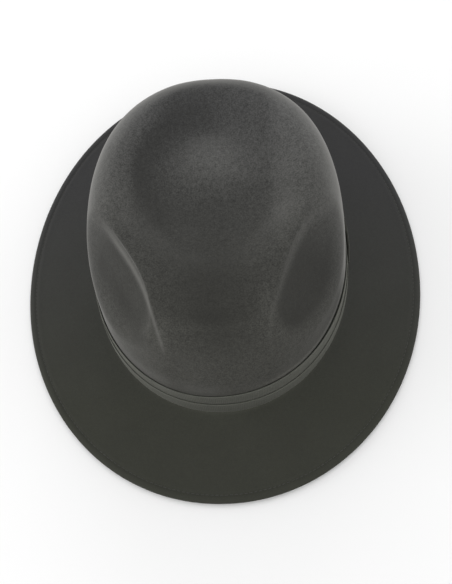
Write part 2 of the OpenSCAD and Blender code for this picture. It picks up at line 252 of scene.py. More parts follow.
def band_dip(a):
    """How far the ribbon's top edge lies below its full height in the direction a."""
    return BAND_DIP * bell((a - BAND_DIP_A + 180) % 360 - 180, 36)


def brim_foot(a):
    return BASE_W * cos_d(a), BASE_L * sin_d(a)


def brim_edge(a):
    e = 2 / OUTLINE_POWER
    reach = np.where(sin_d(a) < 0, BRIM_FRONT, BRIM_BACK)
    return BRIM_W * signed_pow(cos_d(a), e), reach * signed_pow(sin_d(a), e)


def brim_length(a):
    x0, y0 = brim_foot(a)
    x1, y1 = brim_edge(a)
    return np.hypot(x1 - x0, y1 - y0)


def brim_point(a, reach, height=0.0):
    """Point of the brim; reach is 0 at the crown and 1 at the edge, height is above its upper face."""
    x0, y0 = brim_foot(a)
    x1, y1 = brim_edge(a)
    end_rise = np.where(sin_d(a) < 0, FRONT_RISE, BACK_RISE)
    rise = mix(SIDE_RISE, end_rise, sin_d(a) ** 2)
    sweep = (np.maximum(reach - FLAT_SHARE, 0) / (1 - FLAT_SHARE)) ** SWEEP_POWER
    return stack(mix(x0, x1, reach), mix(y0, y1, reach), FELT_T + rise * sweep + height)


def edge_relief(d):
    """Height of the turned-under edge's swell and of the groove that its stitches pull in."""
    return 0.30 * bell(d - 2.9, 1.3) - 0.30 * bell(d - STITCH_IN, 0.75) + 0.16 * bell(d - 7.2, 1.6)


def brim_top(a, d):
    """Point of the brim's upper face at the distance d from its edge."""
    return brim_point(a, 1 - d / brim_length(a), edge_relief(d))


# ---- meshes from rows of points


def ring_quads(first, second, n):
    i = np.arange(n)
    j = (i + 1) % n
    return np.stack([first * n + i, first * n + j, second * n + j, second * n + i], axis=1).tolist()


def mesh_object(name, points, faces, material, smooth=True):
    """Object whose mesh holds the points, given in millimetres, with its faces turned outwards."""
    mesh = bpy.data.meshes.new(name)
    mesh.from_pydata((np.asarray(points) * MM).tolist(), [], faces)
    mesh.update()
    mesh.polygons.foreach_set("use_smooth", [smooth] * len(mesh.polygons))
    obj = bpy.data.objects.new(name, mesh)
    bpy.context.scene.collection.objects.link(obj)
    mesh.materials.append(material)
    if signed_volume(mesh) < 0:
        mesh.flip_normals()
    return obj


def signed_volume(mesh):
    mesh.calc_loop_triangles()
    co = np.zeros(len(mesh.vertices) * 3)
    mesh.vertices.foreach_get("co", co)
    co = co.reshape(-1, 3)
    tri = np.zeros(len(mesh.loop_triangles) * 3, dtype=np.int32)
    mesh.loop_triangles.foreach_get("vertices", tri)
    p = co[tri.reshape(-1, 3)]
    return float(np.einsum("ij,ij->i", p[:, 0], np.cross(p[:, 1], p[:, 2])).sum())


def ring_object(name, rings, material):
    """Solid whose skin runs through closed rings, the last joined to the first."""
    rings = np.asarray(rings)
    count, n = rings.shape[:2]
    faces = []
    for r in range(count):
        faces += ring_quads(r, (r + 1) % count, n)
    return mesh_object(name, rings.reshape(-1, 3), faces, material)


def pole_object(name, first, rings, last, material):
    """Solid whose skin starts at one pole, runs through the rings and ends at another pole."""
    rings = np.asarray(rings)
    count, n = rings.shape[:2]
    faces = []
    for r in range(count - 1):
        faces += ring_quads(r, r + 1, n)
    total = count * n
    for i in range(n):
        j = (i + 1) % n
        faces.append([total, j, i])
        faces.append([total + 1, total - n + i, total - n + j])
    points = np.concatenate([rings.reshape(-1, 3), [first], [last]])
    return mesh_object(name, points, faces, material)


def bar_parts(sections, offset=0):
    """Points and faces of a solid that runs through closed sections and is capped at both ends."""
    sections = np.asarray(sections)
    count, n = sections.shape[:2]
    faces = []
    for r in range(count - 1):
        faces += ring_quads(r, r + 1, n)
    faces.append(list(range(n - 1, -1, -1)))
    faces.append(list(range((count - 1) * n, count * n)))
    return sections.reshape(-1, 3), [[v + offset for v in f] for f in faces]


def bars_object(name, bars, material):
    """One object that holds several capped solids."""
    points, faces, total = [], [], 0
    for sections in bars:
        p, f = bar_parts(sections, total)
        points.append(p)
        faces += f
        total += len(p)
    return mesh_object(name, np.concatenate(points), faces, material)


def on_hat(obj, node):
    """Puts a finished piece in the place of its CAD node, on the body of the hat."""
    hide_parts(node)
    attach(obj, "hat")


def float_attribute(obj, name, values):
    layer = obj.data.attributes.new(name, "FLOAT", "POINT")
    layer.data.foreach_set("value", np.asarray(values, dtype=np.float32).ravel())


def thread_sections(start, end, normal, radius, rise):
    """Sections of one stitch: a thread that comes up, lies along the surface and goes down again."""
    start, end, normal = (np.asarray(v, dtype=float) for v in (start, end, normal))
    along = (end - start) / np.linalg.norm(end - start)
    normal = normal - along * (normal @ along)
    normal /= np.linalg.norm(normal)
    side = np.cross(along, normal)
    sections = []
    for f in (0.0, 0.08, 0.25, 0.5, 0.75, 0.92, 1.0):
        swell = math.sin(math.pi * f)
        centre = mix(start, end, f) + normal * (rise * swell**0.6 - radius * 0.6)
        r = radius * (0.55 + 0.45 * min(1.0, swell * 2.5))
        ring = [centre + r * (side * math.cos(t) + normal * math.sin(t)) for t in np.arange(6) * math.pi / 3]
        sections.append(ring)
    return sections


# ---- materials


class Nodes:
    """Short-hand for building a material's node tree."""

    def __init__(self, name):
        self.material = bpy.data.materials.new(name)
        self.material.use_nodes = True
        self.tree = self.material.node_tree
        self.shader = self.tree.nodes["Principled BSDF"]

    def add(self, kind, **values):
        node = self.tree.nodes.new(kind)
        for key, value in values.items():
            if hasattr(node, key):
                setattr(node, key, value)
            else:
                node.inputs[key.replace("_", " ")].default_value = value
        return node

    def link(self, source, target):
        self.tree.links.new(source, target)

    def put(self, value, socket):
        """Sets a socket to a number or a colour, or joins another node's output to it."""
        if isinstance(value, (int, float)):
            socket.default_value = value
        elif isinstance(value, tuple):
            socket.default_value = (*value, 1.0)
        elif value is not None:
            self.link(value, socket)

    def position(self):
        return self.add("ShaderNodeTexCoord").outputs["Object"]

    def noise(self, vector, scale, detail=4.0, roughness=0.6):
        node = self.add("ShaderNodeTexNoise", Scale=scale, Detail=detail, Roughness=roughness)
        self.link(vector, node.inputs["Vector"])
        return node.outputs["Fac"]

    def remap(self, value, low, high, to_low, to_high):
        node = self.add("ShaderNodeMapRange")
        for socket, number in zip(("From Min", "From Max", "To Min", "To Max"), (low, high, to_low, to_high)):
            node.inputs[socket].default_value = number
        self.link(value, node.inputs["Value"])
        return node.outputs["Result"]

    def math(self, operation, a, b=None):
        node = self.add("ShaderNodeMath", operation=operation)
        self.put(a, node.inputs[0])
        self.put(b, node.inputs[1])
        return node.outputs["Value"]

    def blend(self, factor, a, b, mode="MIX"):
        node = self.add("ShaderNodeMix", data_type="RGBA", blend_type=mode)
        self.put(factor, node.inputs[0])
        self.put(a, node.inputs[6])
        self.put(b, node.inputs[7])
        return node.outputs[2]

    def scale_colour(self, colour, factor):
        """Colour multiplied by a number that may vary over the surface."""
        grey = self.add("ShaderNodeCombineColor")
        for socket in grey.inputs:
            if not socket.is_unavailable:
                self.link(factor, socket)
        return self.blend(1.0, colour, grey.outputs[0], "MULTIPLY")

    def attribute(self, name):
        return self.add("ShaderNodeAttribute", attribute_name=name).outputs["Fac"]

    def facing(self):
        return self.add("ShaderNodeLayerWeight", Blend=0.5).outputs["Facing"]

    def bump(self, height, distance, strength=1.0, normal=None):
        node = self.add("ShaderNodeBump", Distance=distance * MM, Strength=strength)
        self.link(height, node.inputs["Height"])
        if normal is not None:
            self.link(normal, node.inputs["Normal"])
        return node.outputs["Normal"]

    def finish(self, colour, roughness=0.8, normal=None, sheen=0.0, sheen_tint=(1.0, 1.0, 1.0), specular=0.3):
        self.put(colour, self.shader.inputs["Base Color"])
        self.put(roughness, self.shader.inputs["Roughness"])
        self.put(normal, self.shader.inputs["Normal"])
        self.shader.inputs["Sheen Weight"].default_value = sheen
        self.shader.inputs["Sheen Roughness"].default_value = 0.45
        self.shader.inputs["Sheen Tint"].default_value = (*sheen_tint, 1.0)
        self.shader.inputs["Specular IOR Level"].default_value = specular
        return self.material


def felt_material():
    """Fur felt: speckled nap, painted light and shade in places, painted ridge highlights and rim sheen."""
    n = Nodes("fur_felt")
    where = n.position()
    crown = n.attribute("crown")
    # Painted light and shade, carried on the mesh
    painted_light_shade = n.attribute("painted_light_shade")
    grain = n.math("ADD", n.remap(n.noise(where, 1100, 3.0, 0.7), 0.3, 0.7, -0.5, 0.5),
                   n.remap(n.noise(where, 380, 4.0, 0.6), 0.3, 0.7, -0.22, 0.22))
    coarse = n.math("MULTIPLY", n.remap(crown, 0, 1, 0.22, 1.0), n.remap(painted_light_shade, -0.35, 0.0, 0.30, 0.80))
    speckle = n.math("ADD", 1.0, n.math("MULTIPLY", grain, coarse))
    clouds = n.remap(n.noise(where, 30, 3.0, 0.5), 0.3, 0.7, 0.965, 1.035)
    tone = n.math("MULTIPLY", n.math("MULTIPLY", speckle, clouds), n.math("ADD", 1.0, painted_light_shade))
    front = n.add("ShaderNodeSeparateXYZ")
    n.link(where, front.inputs[0])
    greener = n.remap(front.outputs["Y"], -0.10, 0.08, 1.0, 0.0)
    # The crown's tone is lighter than the brim's though both are one felt: painted light
    brim = n.blend(greener, (0.0418, 0.0418, 0.0424), (0.0402, 0.0414, 0.0338))
    top = n.blend(greener, (0.0530, 0.0530, 0.0528), (0.0515, 0.0512, 0.0455))
    base = n.scale_colour(n.blend(crown, brim, top), tone)
    # Painted highlight along the pinch ridges, in a light grey
    painted_ridge_highlight = n.blend(n.attribute("painted_ridge_highlight"), base, (0.150, 0.147, 0.138))
    # Painted sheen: light grey where the felt turns away from view, as far as the rim mark allows
    painted_sheen = n.math("MULTIPLY", n.math("POWER", n.facing(), 3.1), n.attribute("rim"))
    colour = n.blend(painted_sheen, painted_ridge_highlight, (0.25, 0.2475, 0.2375))
    fibres = n.bump(n.noise(where, 2600, 2.0, 0.7), 0.12, 0.5)
    normal = n.bump(n.noise(where, 500, 4.0, 0.7), 0.10, 0.4, fibres)
    return n.finish(colour, 0.95, normal, 0.05, (0.9, 0.88, 0.82), 0.1)


def ribbon_material(name, colour):
    """Grosgrain: warp threads along the ribbon over cross ribs, with a soft silk sheen that is partly
    painted.
    """
    n = Nodes(name)
    where = n.position()
    weave = n.remap(n.noise(where, 1300, 2.0, 0.6), 0.35, 0.65, 0.85, 1.15)
    shade = n.remap(n.noise(where, 60, 3.0, 0.5), 0.3, 0.7, 0.93, 1.07)
    lengthwise = n.add("ShaderNodeMapping")
    lengthwise.inputs["Scale"].default_value = (25.0, 25.0, 900.0)
    n.link(where, lengthwise.inputs["Vector"])
    streaks = n.remap(n.noise(lengthwise.outputs["Vector"], 1.0, 2.0, 0.5), 0.3, 0.7, 0.90, 1.10)
    # Darker between the ribs and lighter on them: painted shade in the grooves and painted light on the ribs
    rib = n.math("MULTIPLY", n.remap(n.attribute("rib"), 0, 1, 0.78, 1.12), streaks)
    tone = n.math("MULTIPLY", n.math("MULTIPLY", weave, shade), rib)
    # Painted highlight along the smooth edges: a lighter copy of the ribbon's colour
    edge = n.blend(n.attribute("selvedge"), colour, tuple(c * 1.35 for c in colour))
    # Painted sheen: a pale grey where the ribbon turns away from view
    painted_sheen = n.math("MULTIPLY", n.math("POWER", n.facing(), 3.0), 0.5)
    with_painted_sheen = n.blend(painted_sheen, edge, (0.17, 0.17, 0.15))
    normal = n.bump(n.noise(where, 1800, 2.0, 0.7), 0.05, 0.4)
    return n.finish(n.scale_colour(with_painted_sheen, tone), 0.62, normal, 0.15, (0.9, 0.9, 0.82), 0.3)


def thread_material(name, colour):
    """Twisted sewing thread."""
    n = Nodes(name)
    where = n.position()
    twist = n.add("ShaderNodeTexWave", Scale=900.0, Distortion=1.5)
    n.link(where, twist.inputs["Vector"])
    tone = n.remap(twist.outputs["Fac"], 0, 1, 0.75, 1.2)
    normal = n.bump(twist.outputs["Fac"], 0.05, 0.5)
    return n.finish(n.scale_colour(colour, tone), 0.7, normal, 0.1)


def leather_material():
    """Sheepskin of the sweatband: fine pebbled grain, soft mottling and wrinkles."""
    n = Nodes("sheepskin")
    where = n.position()
    cells = n.add("ShaderNodeTexVoronoi", Scale=750.0, feature="DISTANCE_TO_EDGE")
    n.link(where, cells.inputs["Vector"])
    grain = n.remap(cells.outputs["Distance"], 0.0, 0.25, 0.0, 1.0)
    mottle = n.remap(n.noise(where, 45, 4.0, 0.6), 0.3, 0.7, 0.82, 1.18)
    crease = n.remap(grain, 0, 1, 0.86, 1.04)
    brown = (0.14, 0.068, 0.032)
    colour = n.scale_colour(brown, n.math("MULTIPLY", mottle, crease))
    wrinkles = n.bump(n.noise(where, 140, 4.0, 0.6), 0.25, 0.35)
    normal = n.bump(grain, 0.08, 0.6, wrinkles)
    rough = n.remap(n.noise(where, 300, 3.0, 0.5), 0.3, 0.7, 0.42, 0.58)
    return n.finish(colour, rough, normal, 0.0, specular=0.4)


def satin_material():
    """Lining satin: glossy along the fine warp, with slight shade changes."""
    n = Nodes("lining_satin")
    where = n.position()
    stretch = n.add("ShaderNodeMapping")
    stretch.inputs["Scale"].default_value = (2200.0, 2200.0, 160.0)
    n.link(where, stretch.inputs["Vector"])
    yarn = n.noise(stretch.outputs["Vector"], 1.0, 2.0, 0.6)
    shade = n.remap(n.noise(where, 35, 3.0), 0.3, 0.7, 0.93, 1.07)
    tone = n.math("MULTIPLY", n.remap(yarn, 0.3, 0.7, 0.9, 1.1), shade)
    colour = n.scale_colour((0.21, 0.195, 0.165), tone)
    n.shader.inputs["Anisotropic"].default_value = 0.6
    return n.finish(colour, 0.32, n.bump(yarn, 0.03, 0.4), 0.2, (0.9, 0.88, 0.8), 0.5)


def cord_material(name, colour, scale):
    """Plain cloth or cord with a fine grain; a higher scale is finer."""
    n = Nodes(name)
    where = n.position()
    tone = n.remap(n.noise(where, scale, 3.0, 0.6), 0.3, 0.7, 0.8, 1.2)
    normal = n.bump(n.noise(where, scale, 3.0, 0.6), 0.08, 0.5)
    return n.finish(n.scale_colour(colour, tone), 0.6, normal, 0.1)


# Every material that a piece uses
felt = felt_material()
grosgrain = ribbon_material("grosgrain", (0.0598, 0.0618, 0.0515))
small_ribbon = ribbon_material("small_ribbon", (0.022, 0.022, 0.022))
brim_thread = thread_material("brim_thread", (0.047, 0.048, 0.042))
leather_thread = thread_material("leather_thread", (0.36, 0.25, 0.14))
leather = leather_material()
satin = satin_material()
reed_cloth = cord_material("reed_cloth", (0.30, 0.26, 0.19), 900)
tape_cloth = cord_material("tape_cloth", (0.05, 0.046, 0.04), 1200)
piping_cord = cord_material("piping_cord", (0.055, 0.055, 0.05), 1000)

# ---- felt


def even_climbs(rows, top):
    """Climbs between the foot and top that give rows of about equal spacing over the block."""
    fine = np.linspace(0, top, 2000)
    c, s = cos_d(fine), sin_d(fine)
    k = (c**SHOULDER + s**SHOULDER) ** (-1 / SHOULDER)
    run = np.hypot(np.diff(k * c * 95), np.diff(k * s * CROWN_H))
    length = np.concatenate([[0], np.cumsum(run)])
    return np.interp(np.linspace(0, length[-1], rows), length, fine)


def felt_rings():
    """Rings of the felt from the middle of the top, over the crown and brim, and back up inside."""
    rings = []
    for climb in even_climbs(120, 89.4)[:0:-1]:
        ring = crown_point(around, climb, 0)
        calm = ease((ring[:, 2] - 34) / 12)
        hand = 0.30 * rumple(ring, 34, 1) + 0.12 * rumple(ring, 13, 2)
        ring[:, 2] += calm * hand
        rings.append(ring)
    rings.append(wall_point(around, FELT_T, 0))
    # The brim's first rows lie close together, because the painted light on it next to the ribbon is narrow
    for d in (0.6, 1.2, 1.8, 2.4):
        rings.append(brim_point(around, d / brim_length(around)))
    for reach in np.linspace(0, 0.82, 15)[1:]:
        rings.append(brim_point(around, reach))
    for d in (8.6, 7.9, 7.2, 6.6, 6.0, 5.6, 5.3, 5.0, 4.7, 4.4, 4.0, 3.5, 2.9, 2.4):
        rings.append(brim_top(around, d))
    half = (FELT_T + WELT_T) / 2
    for turn in np.linspace(75, -90, 9):
        d = half * (1 - cos_d(turn))
        height = half * (sin_d(turn) - 1) + edge_relief(d) * (turn > 0)
        rings.append(brim_point(around, 1 - d / brim_length(around), height))
    welt = 2 * half
    welt_under = ((2.8, welt), (4.2, welt), (STITCH_IN, welt - 0.25), (5.6, welt), (5.9, welt - 0.1))
    welt_step = ((WELT_W, welt - 0.4), (WELT_W + 0.06, FELT_T + 0.3), (WELT_W + 0.3, FELT_T), (8.0, FELT_T))
    for d, height in welt_under + welt_step:
        rings.append(brim_point(around, 1 - d / brim_length(around), -height))
    for reach in (0.75, 0.6, 0.45, 0.3, 0.18, FLAT_SHARE):
        rings.append(brim_point(around, reach, -FELT_T))
    corner = 1.2
    for turn in (0, 30, 60, 90):
        rings.append(wall_point(around, corner * (1 - cos_d(turn)), -FELT_T + corner * (1 - sin_d(turn))))
    for climb in even_climbs(50, 88)[2:]:
        rings.append(crown_point(around, climb, FELT_T))
    return rings


def pulled_in(x, y, z):
    """How far the pinch has pulled each point of the crown in from the uncreased block."""
    up = np.clip(z / block_height(y), 0, 0.999)
    size = (1 - up**SHOULDER) ** (1 / SHOULDER)
    length = BASE_L - np.where(y < 0, FRONT_TAPER, BACK_TAPER) * up
    power = 2 + TOP_SQUARENESS * up
    share = np.clip(1 - (np.abs(y) / (length * np.maximum(size, 0.01))) ** power, 0, 1)
    return (BASE_W - SIDE_TAPER * up) * size * share ** (1 / power) - np.abs(x)


def painted_top_shading(x, y, hollow):
    """Painted light and shade on the top of the crown, as a share of its plain tone."""
    mound = bell(x - 3, 20) * bell(y - 18, 17)
    valley_share = np.hypot(x / 45, (y - 16) / 42)
    valley = bell(valley_share - 0.95, 0.24) * ease((30 - x) / 50) * ease((y + 30) / 40)
    rear_left = ease((x + 4) / 18) * ease(y / 14) * ease((84 - y) / 34)
    left_side = ease((x - 34) / 12) * ease((y + 62) / 50) * mix(1.0, 1.3, ease((y - 20) / 30))
    band_share = np.hypot(x / 50, (y - 16) / np.where(y > 16, 45, 120))
    right_side = ease((band_share - 0.88) / 0.16) * ease((-x - 20) / 25) * ease((y + 38) / 40)
    front_floor = 0.28 * bell(y + 66, 30) * bell(x, 28) + 0.12 * bell(y + 22, 26) * bell(x, 35)
    front_lip = bell(y + 89, 8) * bell(x - 6, 24)
    sides = (0.34 * left_side + 0.42 * right_side) * (1 - hollow)
    return 0.50 * mound - 0.17 * valley + 0.20 * rear_left + sides - front_floor - 0.28 * front_lip


def painted_patch(x, y, middle, half_size, amount):
    """One soft patch of painted light, painted shade where amount is below 0; middle and half_size are pairs
    in x and y.
    """
    return amount * bell(x - middle[0], half_size[0]) * bell(y - middle[1], half_size[1])


def painted_patches(x, y):
    """Patches of painted light and shade on the crown."""
    return sum((
        painted_patch(x, y, (-49, -82), (9, 9), -0.28),
        painted_patch(x, y, (52, -79), (8, 8), -0.08),
        painted_patch(x, y, (6, -89), (17, 6), -0.22),
        painted_patch(x, y, (34, -74), (5, 10), 0.18),
        painted_patch(x, y, (-31, -86), (5, 6), 0.18),
        painted_patch(x, y, (-71, -31), (5, 13), -0.22),
        painted_patch(x, y, (-32, -18), (9, 14), -0.12),
        painted_patch(x, y, (38, -8), (8, 10), 0.14),
        painted_patch(x, y, (-61, 47), (8, 11), 0.17),
        painted_patch(x, y, (65, 39), (8, 16), 0.17),
        painted_patch(x, y, (-27, 76), (13, 7), -0.20),
        painted_patch(x, y, (22, 81), (11, 6), -0.20),
    ))


def felt_marks(points):
    """Marks at each point: crown or brim, painted light and shade, painted ridge highlight and rim sheen."""
    x, y, z = points.T
    ridge = ridge_x(x, y)
    on_right = ease((9 - x) / 18)
    crown = ease((z - 8) / 25) * (z > 4)
    outside = ease((np.abs(x) - ridge) / 4)
    pulled = ease((pulled_in(x, y, z) - np.where(x < 0, 3, 1)) / np.where(x < 0, 12, 7))
    hollow = outside * pulled * ease((-4 - y) / np.where(x < 0, 22, 40)) * ease((z - 34) / 20)
    chin = bell(y + 99, 14) * bell(z - 66, 20)
    # Painted light and shade over the top, painted shade in the pinch hollows and on the front wall
    painted_light_shade = ease((z - 92) / 8) * painted_top_shading(x, y, hollow) - 0.32 * hollow - 0.05 * chin
    foot = (np.hypot(x / BASE_W, y / BASE_L) - 1) * BASE_W
    on_brim = (z < 12) & (foot > 0.5)
    beside = np.maximum(foot, 0)
    # Painted light just above the ribbon on the front of the wearer's left, where shade would fall, and
    # beside the wearer's right ridge
    above_band = bell(z - 29.5, 2.5) * ease((x - 10) / 40) * ease((-15 - y) / 20)
    beside_ridge = bell(np.abs(x) - ridge - 9, 6) * ease((-14 - y) / 20) * ease((z - 62) / 25) * (x < 0)
    painted_light_shade = painted_light_shade + 0.8 * above_band + 0.12 * beside_ridge + ease((z - 60) / 15) * painted_patches(x, y)
    # On the brim, painted light that grows towards the ribbon, strongest right beside it, where shade would
    # fall
    painted_light_shade = np.where(on_brim, 0.36 * np.exp(-beside / 13) + 2.2 * np.exp(-beside / 0.9), painted_light_shade)
    # Painted highlight along the pinch ridges, stronger on the wearer's right
    on_ridge = bell(np.abs(x) - ridge - 1.0, 1.0) * ease((z - 62) / 25)
    painted_ridge_highlight = on_ridge * ease((-14 - y) / 24) * np.where(x < 0, 0.55, 0.10)
    # Share of the painted sheen at the rim: less beside the ridges, towards the front, on the wearer's right
    # side and in the hollows
    near_ridge = bell(np.abs(x) - ridge, 7) * ease((-2 - y) / 15) * mix(0.75, 0.60, on_right)
    faded = mix(ease((-12 - y) / 34), ease((-30 - y) / 45), on_right)
    to_front = mix(1.0, mix(0.12, 0.40, on_right), faded)
    calm_side = 1 - 0.28 * bell(y + 6, 24) * ease((-x - 40) / 20)
    rim = mix(0.35, 1.0, crown) * to_front * calm_side * (1 - 0.8 * hollow) * (1 - near_ridge)
    return crown, painted_light_shade, painted_ridge_highlight, rim


def build_felt():
    """The whole felt as one mesh: it starts over the middle of the crown and ends under it."""
    first, last = crown_point(0.0, 90.0, 0), crown_point(0.0, 90.0, FELT_T)
    obj = pole_object("hat_felt", first, felt_rings(), last, felt)
    points = np.array([v.co for v in obj.data.vertices]) / MM
    for name, values in zip(("crown", "painted_light_shade", "painted_ridge_highlight", "rim"), felt_marks(points)):
        float_attribute(obj, name, values)
    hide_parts("felt_body", "front_brim")
    bend_with_flap(obj)


def bend_with_flap(obj):
    """Bakes the object's placement into its mesh."""
    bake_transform(obj)


def build_brim_stitches():
    """Even thread stitches in the groove of the turned-under edge, above and below."""
    pitch = 3.1
    gap = 0.75
    thread_r = 0.24
    under = 0.25 - FELT_T - WELT_T
    fine = np.linspace(0, 360, 7201)
    run = run_along(brim_top(fine, STITCH_IN))
    count = int(run[-1] / pitch)
    even_pitch = run[-1] / count
    bars = []
    for i in range(count):
        ends = np.interp([i * even_pitch, (i + 1) * even_pitch - gap], run, fine)
        start, end = (brim_top(e, STITCH_IN) for e in ends)
        bars.append(thread_sections(start, end, (0, 0, 1), thread_r, thread_r))
        start, end = (brim_point(e, 1 - STITCH_IN / brim_length(e), under) for e in ends)
        bars.append(thread_sections(start, end, (0, 0, -1), thread_r, thread_r))
    obj = bars_object("brim_thread_row", bars, brim_thread)
    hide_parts("brim_stitching", "front_brim_stitching")
    bend_with_flap(obj)


# ---- ribbon band

RIB_PITCH = 1.15
RIB_RISE = 0.13
PLAIN_RIB = 0.75  # height of the smooth edges, where 0 is between two ribs and 1 is on one
EDGE_ROUND = 0.22  # reach of the rounding along a ribbon's edges


def ribbon_profile(height):
    """Shares across a ribbon's height at which it has rows, closer together near its edges."""
    edge = np.array([0.0, 0.25, 0.6, 1.0, 1.5]) / height
    middle = np.linspace(edge[-1], 1 - edge[-1], 8)[1:-1]
    return np.concatenate([edge, middle, 1 - edge[::-1]])


def selvedge(share, height):
    """1 on the ribbon's smooth woven edges, 0 on its ribbed field."""
    from_edge = np.minimum(share, 1 - share) * height
    return 1 - ease((from_edge - 0.5) / 0.6)


def edge_rounding(share, height, depth):
    """How much thinner a ribbon is near its edges, by depth at the very edge."""
    return depth * bell(np.minimum(share, 1 - share) * height, EDGE_ROUND)


def build_band(name, node, z0, z1, off, proud, flare, dip):
    """Ribbon ring whose back and face stand off and proud in front of the crown's wall.

    Its top edge stands away by flare and sinks by a share of the dip.
    """
    height = z1 - z0
    girth = np.pi * (3 * (BASE_W + BASE_L) - math.sqrt((3 * BASE_W + BASE_L) * (BASE_W + 3 * BASE_L)))
    ribs = int(girth / RIB_PITCH)
    fine = np.linspace(0, 360, 7201)
    run = run_along(wall_point(fine, z0, off))
    columns = ribs * 4
    a = np.interp(np.arange(columns) * run[-1] / columns, run, fine)
    wave = 0.5 + 0.5 * np.cos(np.arange(columns) * np.pi / 2)
    high = height - dip * band_dip(a)
    rings, rib_rows, edge_rows = [], [], []
    for share in ribbon_profile(height):
        away = flare * ease((share * height - height + 5) / 5)
        plain = selvedge(share, height)
        rib = mix(wave, PLAIN_RIB, plain)
        face = proud - RIB_RISE * (1 - rib) + away - edge_rounding(share, height, 0.22)
        rings.append(wall_point(a, z0 + share * high, face))
        rib_rows.append(rib)
        edge_rows.append(np.full(columns, plain))
    for share in (1.0, 0.75, 0.0):
        away = flare * ease((share * height - height + 5) / 5)
        rings.append(wall_point(a, z0 + share * high, off + away))
        rib_rows.append(np.full(columns, 0.4))
        edge_rows.append(np.full(columns, 0.3))
    obj = ring_object(name, rings, grosgrain)
    float_attribute(obj, "rib", rib_rows)
    float_attribute(obj, "selvedge", edge_rows)
    on_hat(obj, node)


# ---- flat side bow

loop_low, loop_high = box_mm("bow_front_loop")
knot_low, knot_high = box_mm("bow_knot")
BOW_PLY = 0.4  # thickness of the bow's ribbon
BOW_LAP = BOW_PLY + 0.05  # from the middle of one layer to the middle of the next
BOW_STEP = RIB_PITCH / 5  # distance between the bow's rows of points
FOLD_R = 0.25  # radius of the fold at the end of a loop
KNOT_HALF_W = 5.6
TAIL_OFF = OVERLAY_PROUD + 0.15 + BOW_PLY / 2  # middle of the tail, in front of the felt
LOOP_OFF = TAIL_OFF + BOW_LAP
KNOT_OFF = LOOP_OFF + 2 * FOLD_R + BOW_LAP


def ribbon_strip(path_a, path_off, z_low, z_high, thick):
    """Sections of a ribbon that runs along a path of directions and stand-offs, and its rib shares."""
    run = run_along([wall_point(a, 10.0, off) for a, off in zip(path_a, path_off)])
    steps = run + np.arange(len(run)) * 1e-6  # two points in one place still count as a step
    rise = np.gradient(path_off, steps)
    along = np.gradient(path_a * DEGREE_AT_SIDE, steps)
    size = np.hypot(rise, along)
    out_off, out_a = along / size, -rise / size
    wave = 0.5 + 0.5 * np.cos(run * 2 * np.pi / RIB_PITCH)
    sections, ribs, edges = [], [], []
    for i in range(len(run)):
        height = z_high[i] - z_low[i]
        shares = ribbon_profile(height)
        loop, rib, edge = [], [], []
        for side, order in ((1, shares), (-1, shares[::-1])):
            for share in order:
                plain = selvedge(share, height)
                raised = mix(wave[i], PLAIN_RIB, plain)
                half = thick / 2 - edge_rounding(share, height, 0.12) - RIB_RISE * 0.6 * (1 - raised)
                off = path_off[i] + side * half * out_off[i]
                a = path_a[i] + side * half * out_a[i] / DEGREE_AT_SIDE
                loop.append(wall_point(a, mix(z_low[i], z_high[i], share), off))
                rib.append(raised)
                edge.append(plain)
        sections.append(loop)
        ribs.append(rib)
        edges.append(edge)
    return np.array(sections), ribs, edges


def ribbon_piece(name, node, strips, material):
    """One piece made of several strips of ribbon."""
    obj = bars_object(name, [sections for sections, _, _ in strips], material)
    float_attribute(obj, "rib", [row for _, ribs, _ in strips for row in ribs])
    float_attribute(obj, "selvedge", [row for _, _, edges in strips for row in edges])
    on_hat(obj, node)


def loop_path(length, toward):
    """Path of a folded loop from the knot at direction 0: out along the wall, round the fold and back."""
    out = np.arange(length * DEGREE_AT_SIDE - FOLD_R, 0, -BOW_STEP)[::-1] / DEGREE_AT_SIDE
    back = out[::-1]
    turns = np.linspace(-80, 80, 11)
    fold = length - FOLD_R / DEGREE_AT_SIDE + FOLD_R * cos_d(turns) / DEGREE_AT_SIDE
    share = back / back[0]
    rise = 2 * FOLD_R * ease(share * 3 + 0.25) + 0.2 * np.sin(np.pi * share)
    path_a = toward * np.concatenate([out, fold, back])
    path_off = LOOP_OFF + np.concatenate([0 * out, FOLD_R * (1 + sin_d(turns)), rise])
    return path_a, path_off


def build_bow_loops():
    """Two folded loops, one towards the front and one towards the back, narrowed at the knot."""
    middle = (loop_low[2] + loop_high[2]) / 2
    half = (loop_high[2] - loop_low[2]) / 2
    for name, node, length, toward in (
        ("bow_loop_front", "bow_front_loop", 15.0, -1),
        ("bow_loop_back", "bow_back_loop", 14.0, 1),
    ):
        path_a, path_off = loop_path(length, toward)
        narrowed = 1 - 0.10 * bell(path_a, 4.0)
        strip = ribbon_strip(
            BOW_A + path_a, path_off, middle - half * narrowed, middle + half * narrowed, BOW_PLY)
        ribbon_piece(name, node, [strip], grosgrain)


def build_bow_tail():
    """The tail under the loops; its free end is cut on a slant."""
    tail_a = np.arange(-9.0, 19.5, BOW_STEP / DEGREE_AT_SIDE)
    high = np.full(len(tail_a), loop_high[2])
    low = mix(loop_low[2], high - 3.0, np.clip((tail_a - 14.5) / 5.0, 0, 1))
    strip = ribbon_strip(BOW_A + tail_a, np.full(len(tail_a), TAIL_OFF), low, high, BOW_PLY)
    ribbon_piece("bow_tail_end", "bow_tail", [strip], grosgrain)


